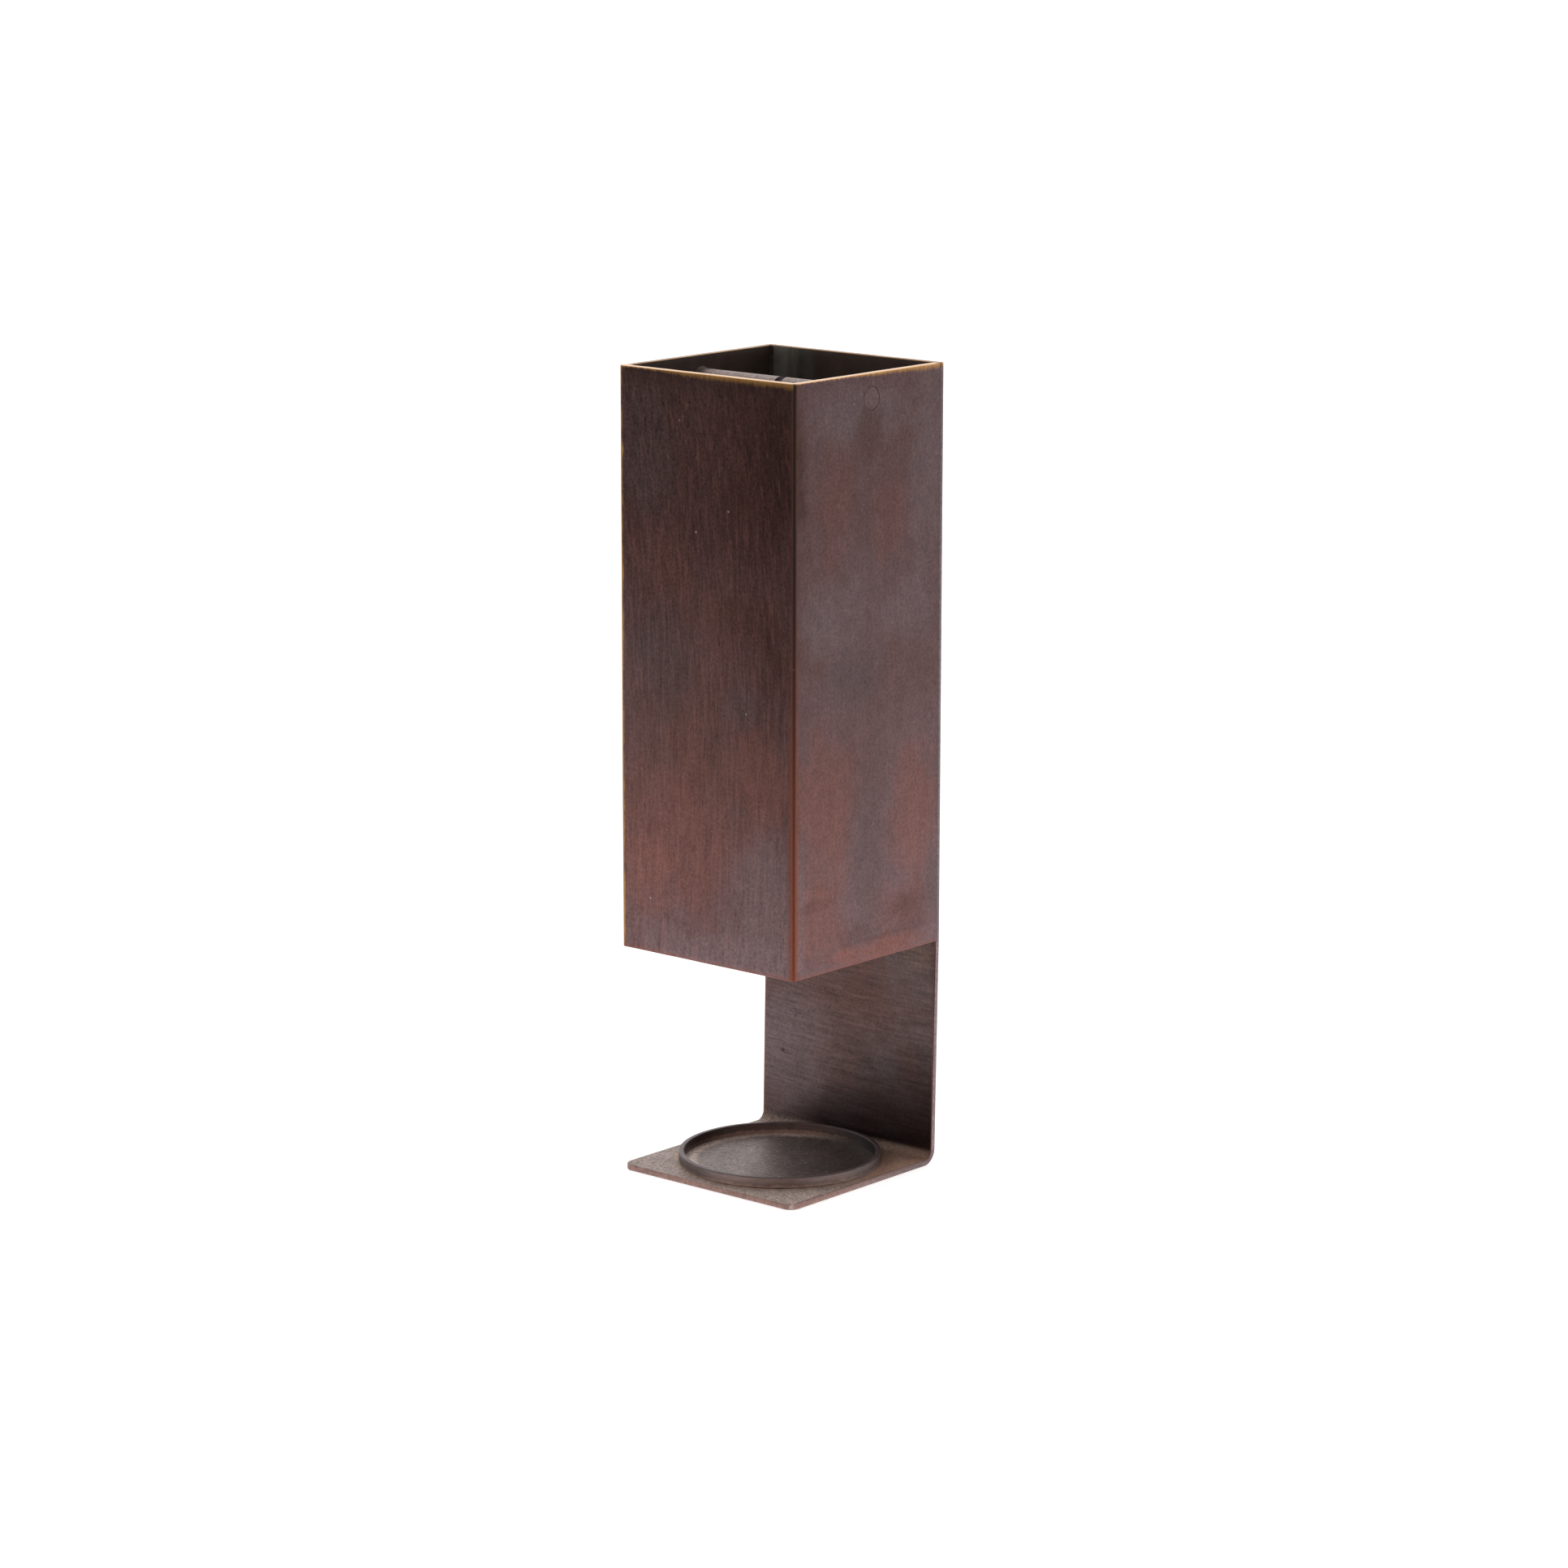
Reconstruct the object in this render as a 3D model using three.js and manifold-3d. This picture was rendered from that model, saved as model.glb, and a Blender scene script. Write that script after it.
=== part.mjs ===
// A candle lantern in sheet brass: an open square chimney carried on one bent back sheet,
// whose foot is the square base plate, with a low ring on the base to hold a candle and a
// round bar across the top of the chimney to hang the lantern by.
//
// Millimetres, +Z up. The origin is on the table under the middle of the chimney.
// -Y is the open front, +Y the back sheet, +X and -X the chimney's two side walls.

import * as THREE from 'three';
import { mergeVertices } from 'three/addons/utils/BufferGeometryUtils.js';
import Module from 'manifold-3d';

// ---- driving dimensions ----

const SHEET = 1.7; // thickness of every sheet
const WIDTH = 60; // across the chimney, the back sheet and the base
const DEPTH = 60; // chimney, front face to back face
const HEIGHT = 217; // table to rim
const CHIMNEY_BOTTOM = 61.6; // table to the chimney's lower edge

const BASE_REACH = 0.5; // base plate's front edge, forward of the chimney's front face
const BASE_CORNER_RADIUS = 3.0; // the base plate's two front corners, seen from above
const BEND_RADIUS = 2.5; // inside of the bend between base and back sheet
const ARM_SET_IN = 1.2; // the foot of the back sheet leans this far forward

const FOLD_OUTER_RADIUS = 0.7; // the chimney cover's two folded front corners
const FOLD_INNER_RADIUS = 0.3; // the fold line is scored, so it is nearly sharp inside

const RING_DIAMETER = 54.4; // outside
const RING_WALL = 1.4;
const RING_HEIGHT = 2.9; // above the base plate
const RING_EDGE_ROUND = 0.3;
const RING_OFFSET_Y = -0.6; // a little forward, so that its back just clears the back sheet
const RING_TRIM_GAP = 0.3; // its foot is filed to clear the bend by this much

const BAR_DIAMETER = 6.0;
const BAR_BELOW_RIM = 6.6; // rim to the bar's axis
const BAR_OFFSET_Y = 0.4; // behind the middle of the chimney
const BAR_HOLE_CLEARANCE = 0.06; // all round, the hairline at the bar's ends
const GROOVE_WIDTH = 2.4; // round the middle of the bar, for a hook or a cord
const GROOVE_DEPTH = 0.9;

const SEAM_LEG = 1.0; // each leg of the solder fillet down an inside corner
const SEAM_SET_BACK = 0.5; // each end of that fillet stops short of the wall's edge
const COLLAR_LEG = 0.7; // solder round the bar at each wall
const FOOT_LEG = 0.35; // solder round the foot of the ring

const ARC_STEPS = 10; // facets in a bend or a corner arc
const FILLET_STEPS = 4; // facets in a solder fillet's hollow face
const ROUND_STEPS = 96; // facets round the ring
const BAR_STEPS = 48; // facets round the bar and its holes

const halfWidth = WIDTH / 2;
const halfDepth = DEPTH / 2;
const sideInside = halfWidth - SHEET;
const backInside = halfDepth - SHEET;
const barHeight = HEIGHT - BAR_BELOW_RIM;
const barRadius = BAR_DIAMETER / 2;
const baseFront = -halfDepth - BASE_REACH;
const footBack = halfDepth - ARM_SET_IN;
const bendCentreY = footBack - SHEET - BEND_RADIUS;
const bendCentreZ = SHEET + BEND_RADIUS;

// ---- finishes ----

function patina(colour, roughness, metalness) {
  return new THREE.MeshStandardMaterial({ color: colour, roughness, metalness });
}

const chimneyFinish = patina('#5c4443', 0.45, 0.7);
const bracketFinish = patina('#4f4442', 0.5, 0.65);
const ringFinish = patina('#574a47', 0.5, 0.65);
const barFinish = patina('#6b6361', 0.75, 0.4);
const solderFinish = patina('#4a4542', 0.6, 0.6);

// ---- joining and cutting ----

const wasm = await Module();
wasm.setup();

function toSolid(geometry) {
  const bare = geometry.clone();
  bare.deleteAttribute('normal');
  bare.deleteAttribute('uv');
  const merged = mergeVertices(bare, 1e-4);
  const mesh = new wasm.Mesh({
    numProp: 3,
    vertProperties: new Float32Array(merged.attributes.position.array),
    triVerts: new Uint32Array(merged.index.array),
  });
  return new wasm.Manifold(mesh);
}

function toGeometry(solid) {
  const mesh = solid.getMesh();
  const geometry = new THREE.BufferGeometry();
  geometry.setAttribute('position', new THREE.BufferAttribute(mesh.vertProperties, 3));
  geometry.setIndex(new THREE.BufferAttribute(mesh.triVerts, 1));
  geometry.computeVertexNormals();
  return geometry;
}

// ---- shapes ----

// A side-on outline, with its points as (depth, height), pulled across the full width.
function pulledAcross(shape, width) {
  const geometry = new THREE.ExtrudeGeometry(shape, {
    depth: width,
    bevelEnabled: false,
    curveSegments: ARC_STEPS,
  });
  // the outline's x becomes +Y, its y becomes +Z, and the pull runs along +X
  const turn = new THREE.Matrix4().makeBasis(
    new THREE.Vector3(0, 1, 0),
    new THREE.Vector3(0, 0, 1),
    new THREE.Vector3(1, 0, 0),
  );
  geometry.applyMatrix4(turn);
  geometry.translate(-width / 2, 0, 0);
  return geometry;
}

// A plan outline, with its points as (x, y), pulled up from one height to another.
function pulledUp(shape, from, to) {
  const geometry = new THREE.ExtrudeGeometry(shape, {
    depth: to - from,
    bevelEnabled: false,
    curveSegments: ARC_STEPS,
  });
  geometry.translate(0, 0, from);
  return geometry;
}

// A profile of (radius, distance along the axis) turned about X.
function turnedAboutX(profile, steps) {
  const geometry = new THREE.LatheGeometry(profile, steps);
  geometry.rotateZ(-Math.PI / 2);
  return geometry;
}

// A concave fillet's section: two straight legs along the walls and a hollow face.
function filletPoints(leg) {
  const points = [new THREE.Vector2(0, 0), new THREE.Vector2(leg, 0)];
  for (let step = 1; step < FILLET_STEPS; step += 1) {
    const angle = (Math.PI / 2) * (step / FILLET_STEPS);
    points.push(new THREE.Vector2(leg * (1 - Math.sin(angle)), leg * (1 - Math.cos(angle))));
  }
  points.push(new THREE.Vector2(0, leg));
  return points;
}

// ---- the pieces ----

// One sheet: base plate, bend, arm and the chimney's back wall.
function backAndBase() {
  const outerBend = BEND_RADIUS + SHEET;
  const side = new THREE.Shape();
  side.moveTo(baseFront, 0);
  side.lineTo(bendCentreY, 0);
  side.absarc(bendCentreY, bendCentreZ, outerBend, -Math.PI / 2, 0, false);
  side.lineTo(halfDepth, CHIMNEY_BOTTOM);
  side.lineTo(halfDepth, HEIGHT);
  side.lineTo(backInside, HEIGHT);
  side.lineTo(backInside, CHIMNEY_BOTTOM);
  side.lineTo(footBack - SHEET, bendCentreZ);
  side.absarc(bendCentreY, bendCentreZ, BEND_RADIUS, 0, -Math.PI / 2, true);
  side.lineTo(baseFront, SHEET);
  side.closePath();

  const back = halfDepth + 1;
  const plan = new THREE.Shape();
  plan.moveTo(halfWidth, back);
  plan.lineTo(-halfWidth, back);
  plan.lineTo(-halfWidth, baseFront + BASE_CORNER_RADIUS);
  plan.absarc(-halfWidth + BASE_CORNER_RADIUS, baseFront + BASE_CORNER_RADIUS,
    BASE_CORNER_RADIUS, Math.PI, 1.5 * Math.PI, false);
  plan.absarc(halfWidth - BASE_CORNER_RADIUS, baseFront + BASE_CORNER_RADIUS,
    BASE_CORNER_RADIUS, 1.5 * Math.PI, 2 * Math.PI, false);
  plan.closePath();

  const sheet = toSolid(pulledAcross(side, WIDTH));
  const outline = toSolid(pulledUp(plan, -1, HEIGHT + 1));
  return toGeometry(sheet.intersect(outline));
}

// One sheet folded to a U: the chimney's front wall and both side walls, bored for the bar.
function chimneyCover() {
  const outer = FOLD_OUTER_RADIUS;
  const inner = FOLD_INNER_RADIUS;
  const frontInside = -halfDepth + SHEET;

  const plan = new THREE.Shape();
  plan.moveTo(-halfWidth, backInside);
  plan.lineTo(-halfWidth, -halfDepth + outer);
  plan.absarc(-halfWidth + outer, -halfDepth + outer, outer, Math.PI, 1.5 * Math.PI, false);
  plan.lineTo(halfWidth - outer, -halfDepth);
  plan.absarc(halfWidth - outer, -halfDepth + outer, outer, 1.5 * Math.PI, 2 * Math.PI, false);
  plan.lineTo(halfWidth, backInside);
  plan.lineTo(sideInside, backInside);
  plan.lineTo(sideInside, frontInside + inner);
  plan.absarc(sideInside - inner, frontInside + inner, inner, 0, -Math.PI / 2, true);
  plan.lineTo(-sideInside + inner, frontInside);
  plan.absarc(-sideInside + inner, frontInside + inner, inner, 1.5 * Math.PI, Math.PI, true);
  plan.lineTo(-sideInside, backInside);
  plan.closePath();

  const walls = toSolid(pulledUp(plan, CHIMNEY_BOTTOM, HEIGHT));
  const boreRadius = barRadius + BAR_HOLE_CLEARANCE;
  const bore = new THREE.CylinderGeometry(boreRadius, boreRadius, WIDTH + 10, BAR_STEPS);
  bore.rotateZ(-Math.PI / 2);
  bore.translate(0, BAR_OFFSET_Y, barHeight);
  return toGeometry(walls.subtract(toSolid(bore)));
}

// Everything behind the inside of the bend, less a small gap: what the ring is filed away by.
function behindBend() {
  const reach = BEND_RADIUS - RING_TRIM_GAP;
  const side = new THREE.Shape();
  side.moveTo(bendCentreY, 0);
  side.lineTo(halfDepth, 0);
  side.lineTo(halfDepth, CHIMNEY_BOTTOM);
  side.lineTo(bendCentreY + reach, CHIMNEY_BOTTOM);
  side.lineTo(bendCentreY + reach, bendCentreZ);
  side.absarc(bendCentreY, bendCentreZ, reach, 0, -Math.PI / 2, true);
  side.closePath();
  return toSolid(pulledAcross(side, WIDTH + 2));
}

// A profile of (radius, height) turned about the ring's axis and filed to clear the bend.
function turnedOnBase(profile) {
  const geometry = new THREE.LatheGeometry(profile, ROUND_STEPS);
  geometry.rotateX(Math.PI / 2);
  geometry.translate(0, RING_OFFSET_Y, SHEET);
  return toGeometry(toSolid(geometry).subtract(behindBend()));
}

// The low ring that keeps a candle in the middle of the base.
function candleRing() {
  const outside = RING_DIAMETER / 2;
  const inside = outside - RING_WALL;
  const round = RING_EDGE_ROUND;
  const profile = [
    new THREE.Vector2(inside, 0),
    new THREE.Vector2(outside, 0),
    new THREE.Vector2(outside, RING_HEIGHT - round),
    new THREE.Vector2(outside - round, RING_HEIGHT),
    new THREE.Vector2(inside + round, RING_HEIGHT),
    new THREE.Vector2(inside, RING_HEIGHT - round),
    new THREE.Vector2(inside, 0),
  ];
  return turnedOnBase(profile);
}

// The round bar between the side walls, its ends flush outside, a groove round its middle.
function hangingBar() {
  const profile = [new THREE.Vector2(0, -halfWidth), new THREE.Vector2(barRadius, -halfWidth)];
  for (let step = 0; step <= ARC_STEPS; step += 1) {
    const across = (step / ARC_STEPS - 0.5) * GROOVE_WIDTH;
    const depth = GROOVE_DEPTH * Math.sin(Math.PI * (step / ARC_STEPS));
    profile.push(new THREE.Vector2(barRadius - depth, across));
  }
  profile.push(new THREE.Vector2(barRadius, halfWidth), new THREE.Vector2(0, halfWidth));
  const geometry = turnedAboutX(profile, BAR_STEPS);
  geometry.translate(0, BAR_OFFSET_Y, barHeight);
  return geometry;
}

// Solder down the inside corner between a side wall and the back sheet.
function cornerSeam(side) {
  const section = filletPoints(SEAM_LEG);
  const placed = section.map((point) => new THREE.Vector2(
    side * (sideInside - point.x),
    backInside - point.y,
  ));
  const shape = new THREE.Shape(placed);
  return pulledUp(shape, CHIMNEY_BOTTOM + SEAM_SET_BACK, HEIGHT - SEAM_SET_BACK);
}

// Solder round the bar where it meets the inside of a side wall.
function barCollar(side) {
  const fillet = filletPoints(COLLAR_LEG);
  const profile = fillet.map((point) => new THREE.Vector2(
    barRadius + BAR_HOLE_CLEARANCE + point.x,
    side * (sideInside - point.y),
  ));
  if (side > 0) profile.reverse();
  profile.push(profile[0].clone());
  const geometry = turnedAboutX(profile, BAR_STEPS);
  geometry.translate(0, BAR_OFFSET_Y, barHeight);
  return geometry;
}

// Solder round the outside of the ring's foot.
function ringFoot() {
  const outside = RING_DIAMETER / 2;
  const profile = filletPoints(FOOT_LEG).map((point) => new THREE.Vector2(
    outside + point.x,
    point.y,
  ));
  profile.push(profile[0].clone());
  return turnedOnBase(profile);
}

// ---- the lantern ----

const lantern = new THREE.Group();

function place(name, geometry, finish) {
  const mesh = new THREE.Mesh(geometry, finish);
  mesh.name = name;
  lantern.add(mesh);
}

place('back_and_base', backAndBase(), bracketFinish);
place('chimney_cover', chimneyCover(), chimneyFinish);
place('candle_ring', candleRing(), ringFinish);
place('hanging_bar', hangingBar(), barFinish);
place('seam_solder_left', cornerSeam(-1), solderFinish);
place('seam_solder_right', cornerSeam(1), solderFinish);
place('bar_solder_left', barCollar(-1), solderFinish);
place('bar_solder_right', barCollar(1), solderFinish);
place('ring_solder', ringFoot(), solderFinish);

export default lantern;
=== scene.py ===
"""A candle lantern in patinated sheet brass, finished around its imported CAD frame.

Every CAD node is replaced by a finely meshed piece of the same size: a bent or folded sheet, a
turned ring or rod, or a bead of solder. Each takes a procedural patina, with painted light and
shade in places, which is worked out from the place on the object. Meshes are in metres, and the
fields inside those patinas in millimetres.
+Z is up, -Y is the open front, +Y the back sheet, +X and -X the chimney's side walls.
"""

import math

import bmesh
import bpy
from mathutils import Matrix, Vector, noise


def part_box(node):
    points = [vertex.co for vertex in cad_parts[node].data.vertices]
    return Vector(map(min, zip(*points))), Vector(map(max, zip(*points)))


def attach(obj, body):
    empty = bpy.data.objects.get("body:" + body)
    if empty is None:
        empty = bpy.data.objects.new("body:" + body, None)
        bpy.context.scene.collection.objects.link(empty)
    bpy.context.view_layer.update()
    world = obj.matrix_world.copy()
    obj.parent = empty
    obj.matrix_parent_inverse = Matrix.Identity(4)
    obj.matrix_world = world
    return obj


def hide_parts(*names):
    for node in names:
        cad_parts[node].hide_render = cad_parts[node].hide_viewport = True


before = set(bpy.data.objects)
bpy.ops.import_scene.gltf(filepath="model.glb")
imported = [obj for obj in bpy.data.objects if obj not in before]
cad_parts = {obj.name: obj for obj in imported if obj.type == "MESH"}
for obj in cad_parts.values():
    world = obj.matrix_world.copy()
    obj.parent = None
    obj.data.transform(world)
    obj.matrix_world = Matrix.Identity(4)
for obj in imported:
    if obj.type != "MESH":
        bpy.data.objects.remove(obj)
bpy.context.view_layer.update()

MM = 0.001  # a millimetre, in metres

# ---- sizes from the frame ----

back_low, back_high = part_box("back_and_base")
cover_low, cover_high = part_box("chimney_cover")
ring_low, ring_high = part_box("candle_ring")
bar_low, bar_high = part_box("hanging_bar")

HALF_WIDTH = cover_high.x
FRONT = cover_low.y
BACK = back_high.y
BACK_INSIDE = cover_high.y
SHEET = BACK - BACK_INSIDE
RIM = back_high.z
CHIMNEY_BOTTOM = cover_low.z
BASE_FRONT = back_low.y
BASE_TOP = ring_low.z

RING_RADIUS = (ring_high.x - ring_low.x) / 2
RING_CENTRE = Vector(((ring_high.x + ring_low.x) / 2, ring_low.y + RING_RADIUS, BASE_TOP))
RING_HEIGHT = ring_high.z - ring_low.z

BAR_RADIUS = (bar_high.z - bar_low.z) / 2
BAR_CENTRE = (bar_low + bar_high) / 2

# ---- sizes the boxes don't give, as in the CAD model ----

FOLD_OUTER = 0.7 * MM  # outside of the cover's two folded corners
FOLD_INNER = 0.3 * MM  # and their inside
BEND_RADIUS = 2.5 * MM  # inside of the bend between base and arm
ARM_SET_IN = 1.2 * MM  # how far forward the arm's foot leans
BASE_CORNER = 3.0 * MM  # the base's two front corners, seen from above
RING_WALL = 1.4 * MM
GROOVE_WIDTH = 2.4 * MM
GROOVE_DEPTH = 0.9 * MM

FOOT_BACK = BACK - ARM_SET_IN
BEND_Y = FOOT_BACK - SHEET - BEND_RADIUS
BEND_Z = SHEET + BEND_RADIUS

# ---- how hand-made the pieces are ----

EDGE_ROUND = 0.28 * MM  # filed edges of the sheets
SHARP_EDGE = 0.03 * MM  # edges that stay as cut
WAVE_HEIGHT = 0.05 * MM  # how far a sheet strays from flat
WAVE_LENGTH = 60 * MM
WAVE_FADE = 6 * MM  # the cover's waves die out over this distance from the back wall
EDGE_STRAY = 0.03 * MM  # how far a filed edge strays from straight
EDGE_STRAY_LENGTH = 5 * MM
RING_EASE = 0.3 * MM  # the ring's softened top edges
RING_STRAY = 0.05 * MM  # how far its top strays from level
RING_STRAY_LENGTH = 14 * MM
BAR_CHAMFER = 0.06 * MM
BAR_STRAY = 0.025 * MM
BAR_STRAY_LENGTH = 3 * MM
HOLE_GAP = 0.09 * MM  # hairline round the bar, drawn a trifle wider than in the CAD model
SOLDER_LAP = 0.02 * MM  # how far solder reaches into the bar, so that no gap shows
OUT_OF_ROUND = 0.0025  # share by which the ring is wider or narrower than a true circle

# ---- how finely they are meshed ----

GRID = 1.5 * MM  # spacing of a sheet's mesh
BAR_GRID = 1.0 * MM
ROUND_STEPS = 4  # in a softened edge
CORNER_STEPS = 6  # in a corner of the base
FOLD_STEPS = 10
BEND_STEP = 7  # degrees
GROOVE_STEPS = 16
FILLET_STEPS = 5
RING_STEPS = 240
BAR_STEPS = 96
COLLAR_STEPS = 64
BEAD_STEP = 1.5  # degrees
SHARP_DEGREES = 50  # edges that turn further than this are shaded sharp
MERGE_DISTANCE = 1e-7

ACROSS = Vector((1, 0, 0))
UP = Vector((0, 0, 1))


# ---- mesh building ----

def span(start, stop, spacing):
    """Evenly spaced values from start to stop, both included, no further apart than spacing."""
    steps = max(1, math.ceil(abs(stop - start) / spacing))
    return [start + (stop - start) * step / steps for step in range(steps + 1)]


def arc(centre_a, centre_b, radius, start, stop, steps):
    """Points (a, b) along an arc, angles in degrees."""
    points = []
    for step in range(steps + 1):
        angle = math.radians(start + (stop - start) * step / steps)
        points.append((centre_a + radius * math.cos(angle), centre_b + radius * math.sin(angle)))
    return points


def section(half_wide, half_thick, outer_round, inner_round, wide_steps):
    """A sheet's cut section as (along its width, through its thickness), once round."""
    most = half_thick * 0.9  # a rounding leaves some of the edge's flat
    outer = min(outer_round, most)
    inner = min(inner_round, most)
    points = []
    for step in range(1, wide_steps):
        across = -1 + 2 * step / wide_steps
        points.append((across * (half_wide - outer), half_thick))
    points += arc(half_wide - outer, half_thick - outer, outer, 90, 0, ROUND_STEPS)
    points += arc(half_wide - inner, inner - half_thick, inner, 0, -90, ROUND_STEPS)
    for step in range(1, wide_steps):
        across = 1 - 2 * step / wide_steps
        points.append((across * (half_wide - inner), -half_thick))
    points += arc(inner - half_wide, inner - half_thick, inner, -90, -180, ROUND_STEPS)
    points += arc(outer - half_wide, half_thick - outer, outer, 180, 90, ROUND_STEPS)
    return points


def fillet(leg):
    """A hollow fillet's section with its corner at (0, 0)."""
    points = [(0, 0), (leg, 0)]
    for step in range(1, FILLET_STEPS):
        angle = math.radians(90 * step / FILLET_STEPS)
        points.append((leg * (1 - math.sin(angle)), leg * (1 - math.cos(angle))))
    return points + [(0, leg)]


def new_object(name, data):
    made = bpy.data.objects.new(name, data)
    bpy.context.scene.collection.objects.link(made)
    return made


def finish_mesh(name, bm, sharp_degrees=SHARP_DEGREES):
    """Turns a bmesh into a smooth-shaded object with its faces pointing out."""
    bmesh.ops.remove_doubles(bm, verts=bm.verts, dist=MERGE_DISTANCE)
    bmesh.ops.recalc_face_normals(bm, faces=bm.faces)
    mesh = bpy.data.meshes.new(name)
    bm.to_mesh(mesh)
    bm.free()
    mesh.shade_smooth()
    mesh.set_sharp_from_angle(angle=math.radians(sharp_degrees))
    return new_object(name, mesh)


def loft(name, loops, closed_along=False, sharp_degrees=SHARP_DEGREES):
    """Joins loops of points, each once round a piece, into a skin: a tube with ends or a ring."""
    bm = bmesh.new()
    rows = [[bm.verts.new(point) for point in loop] for loop in loops]
    count = len(rows[0])
    pairs = list(zip(rows, rows[1:]))
    if closed_along:
        pairs.append((rows[-1], rows[0]))
    for low, high in pairs:
        for i in range(count):
            j = (i + 1) % count
            bm.faces.new((low[i], low[j], high[j], high[i]))
    if not closed_along:
        bm.faces.new(rows[0])
        bm.faces.new(reversed(rows[-1]))
    return finish_mesh(name, bm, sharp_degrees)


def turned(profile, steps, place):
    """Loops once round for each (radius, height) of a profile; place gives a point its position."""
    turns = [2 * math.pi * step / steps for step in range(steps)]
    return [[place(radius, height, angle) for angle in turns] for radius, height in profile]


def rounded_end(radius, steps):
    """Distances from a sheet's end that follow its rounding."""
    return [radius * (1 - math.cos(math.radians(90 * step / steps))) for step in range(steps)]


def end_inset(distance, radius):
    """How far a rounded end has drawn in, at a distance from the very end."""
    if distance >= radius:
        return 0.0
    return radius - math.sqrt(max(0.0, radius ** 2 - (radius - distance) ** 2))


def stray(point, wavelength, height, seed):
    """A smooth random height at a point, the same on every run."""
    return noise.noise(point / wavelength + Vector((seed, 2.3 * seed, -seed))) * height


# ---- the bent sheet ----

def back_path():
    """Stations along the bent sheet: (centre y, centre z, outward normal y, outward normal z)."""
    outline = []
    middle = SHEET / 2
    front_steps = rounded_end(EDGE_ROUND, ROUND_STEPS) + rounded_end(BASE_CORNER, CORNER_STEPS)
    for distance in sorted(set(front_steps)):
        outline.append((BASE_FRONT + distance, middle, 0, -1))
    for y in span(BASE_FRONT + BASE_CORNER, BEND_Y, GRID)[:-1]:
        outline.append((y, middle, 0, -1))
    lean = math.degrees(math.atan2(ARM_SET_IN, CHIMNEY_BOTTOM - BEND_Z))
    for angle in span(-90, -lean, BEND_STEP):
        out_y, out_z = math.cos(math.radians(angle)), math.sin(math.radians(angle))
        radius = BEND_RADIUS + middle
        outline.append((BEND_Y + radius * out_y, BEND_Z + radius * out_z, out_y, out_z))
    foot_y, foot_z = outline[-1][:2]
    for z in span(foot_z, CHIMNEY_BOTTOM, GRID)[1:]:
        along = (z - foot_z) / (CHIMNEY_BOTTOM - foot_z)
        y = foot_y + (BACK - middle - foot_y) * along
        outline.append((y, z, out_y + (1 - out_y) * along, out_z * (1 - along)))
    for z in span(CHIMNEY_BOTTOM, RIM - EDGE_ROUND, GRID)[1:]:
        outline.append((BACK - middle, z, 1, 0))
    for distance in reversed(rounded_end(EDGE_ROUND, ROUND_STEPS)):
        outline.append((BACK - middle, RIM - distance, 1, 0))
    return outline


def back_and_base():
    """The bent sheet: base plate, bend, arm and the chimney's back wall."""
    far = 1.0  # further from the base's front edge than any rounding reaches
    wide_steps = math.ceil(2 * HALF_WIDTH / GRID)
    outer_round = 1.6 * EDGE_ROUND
    loops = []
    for y, z, out_y, out_z in back_path():
        from_front = y - BASE_FRONT if z < SHEET else far
        from_rim = RIM - z
        half_wide = HALF_WIDTH - end_inset(from_front, BASE_CORNER) - end_inset(from_rim, EDGE_ROUND)
        half_thick = SHEET / 2 - end_inset(min(from_front, from_rim), EDGE_ROUND)
        inner_round = EDGE_ROUND if z < CHIMNEY_BOTTOM - 0.2 * MM else SHARP_EDGE
        outward = Vector((0, out_y, out_z)).normalized()
        centre = Vector((0, y, z))
        loop = []
        for along, through in section(half_wide, half_thick, outer_round, inner_round, wide_steps):
            point = centre + ACROSS * along + outward * through
            wave = stray(centre + ACROSS * along, WAVE_LENGTH, WAVE_HEIGHT, 3)
            loop.append(point + outward * wave)
        loops.append(loop)
    return loft("back_and_base_sheet", loops)


def bend_height(y):
    """Height of the inside of the bend, or of the base's top, at a depth y."""
    if y <= BEND_Y:
        return SHEET
    reach = min(y - BEND_Y, BEND_RADIUS)
    return BEND_Z - math.sqrt(BEND_RADIUS ** 2 - reach ** 2)


# ---- the chimney cover ----

def cover_path():
    """Stations along the folded sheet in plan: (outside point, inside point)."""
    left_outer, left_inner = -HALF_WIDTH, -HALF_WIDTH + SHEET
    front_inner = FRONT + SHEET
    stations = []
    corner_y = FRONT + FOLD_OUTER
    for y in span(BACK_INSIDE, corner_y, GRID):
        stations.append(((left_outer, y), (left_inner, max(y, front_inner + FOLD_INNER))))
    outer = arc(left_outer + FOLD_OUTER, corner_y, FOLD_OUTER, 180, 270, FOLD_STEPS)
    inner = arc(left_inner + FOLD_INNER, front_inner + FOLD_INNER, FOLD_INNER, 180, 270, FOLD_STEPS)
    stations += list(zip(outer, inner))[1:]
    for x in span(left_outer + FOLD_OUTER, 0, GRID)[1:]:
        stations.append(((x, FRONT), (max(x, left_inner + FOLD_INNER), front_inner)))
    mirrored = [((-o[0], o[1]), (-i[0], i[1])) for o, i in reversed(stations[:-1])]
    return stations + mirrored


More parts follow.
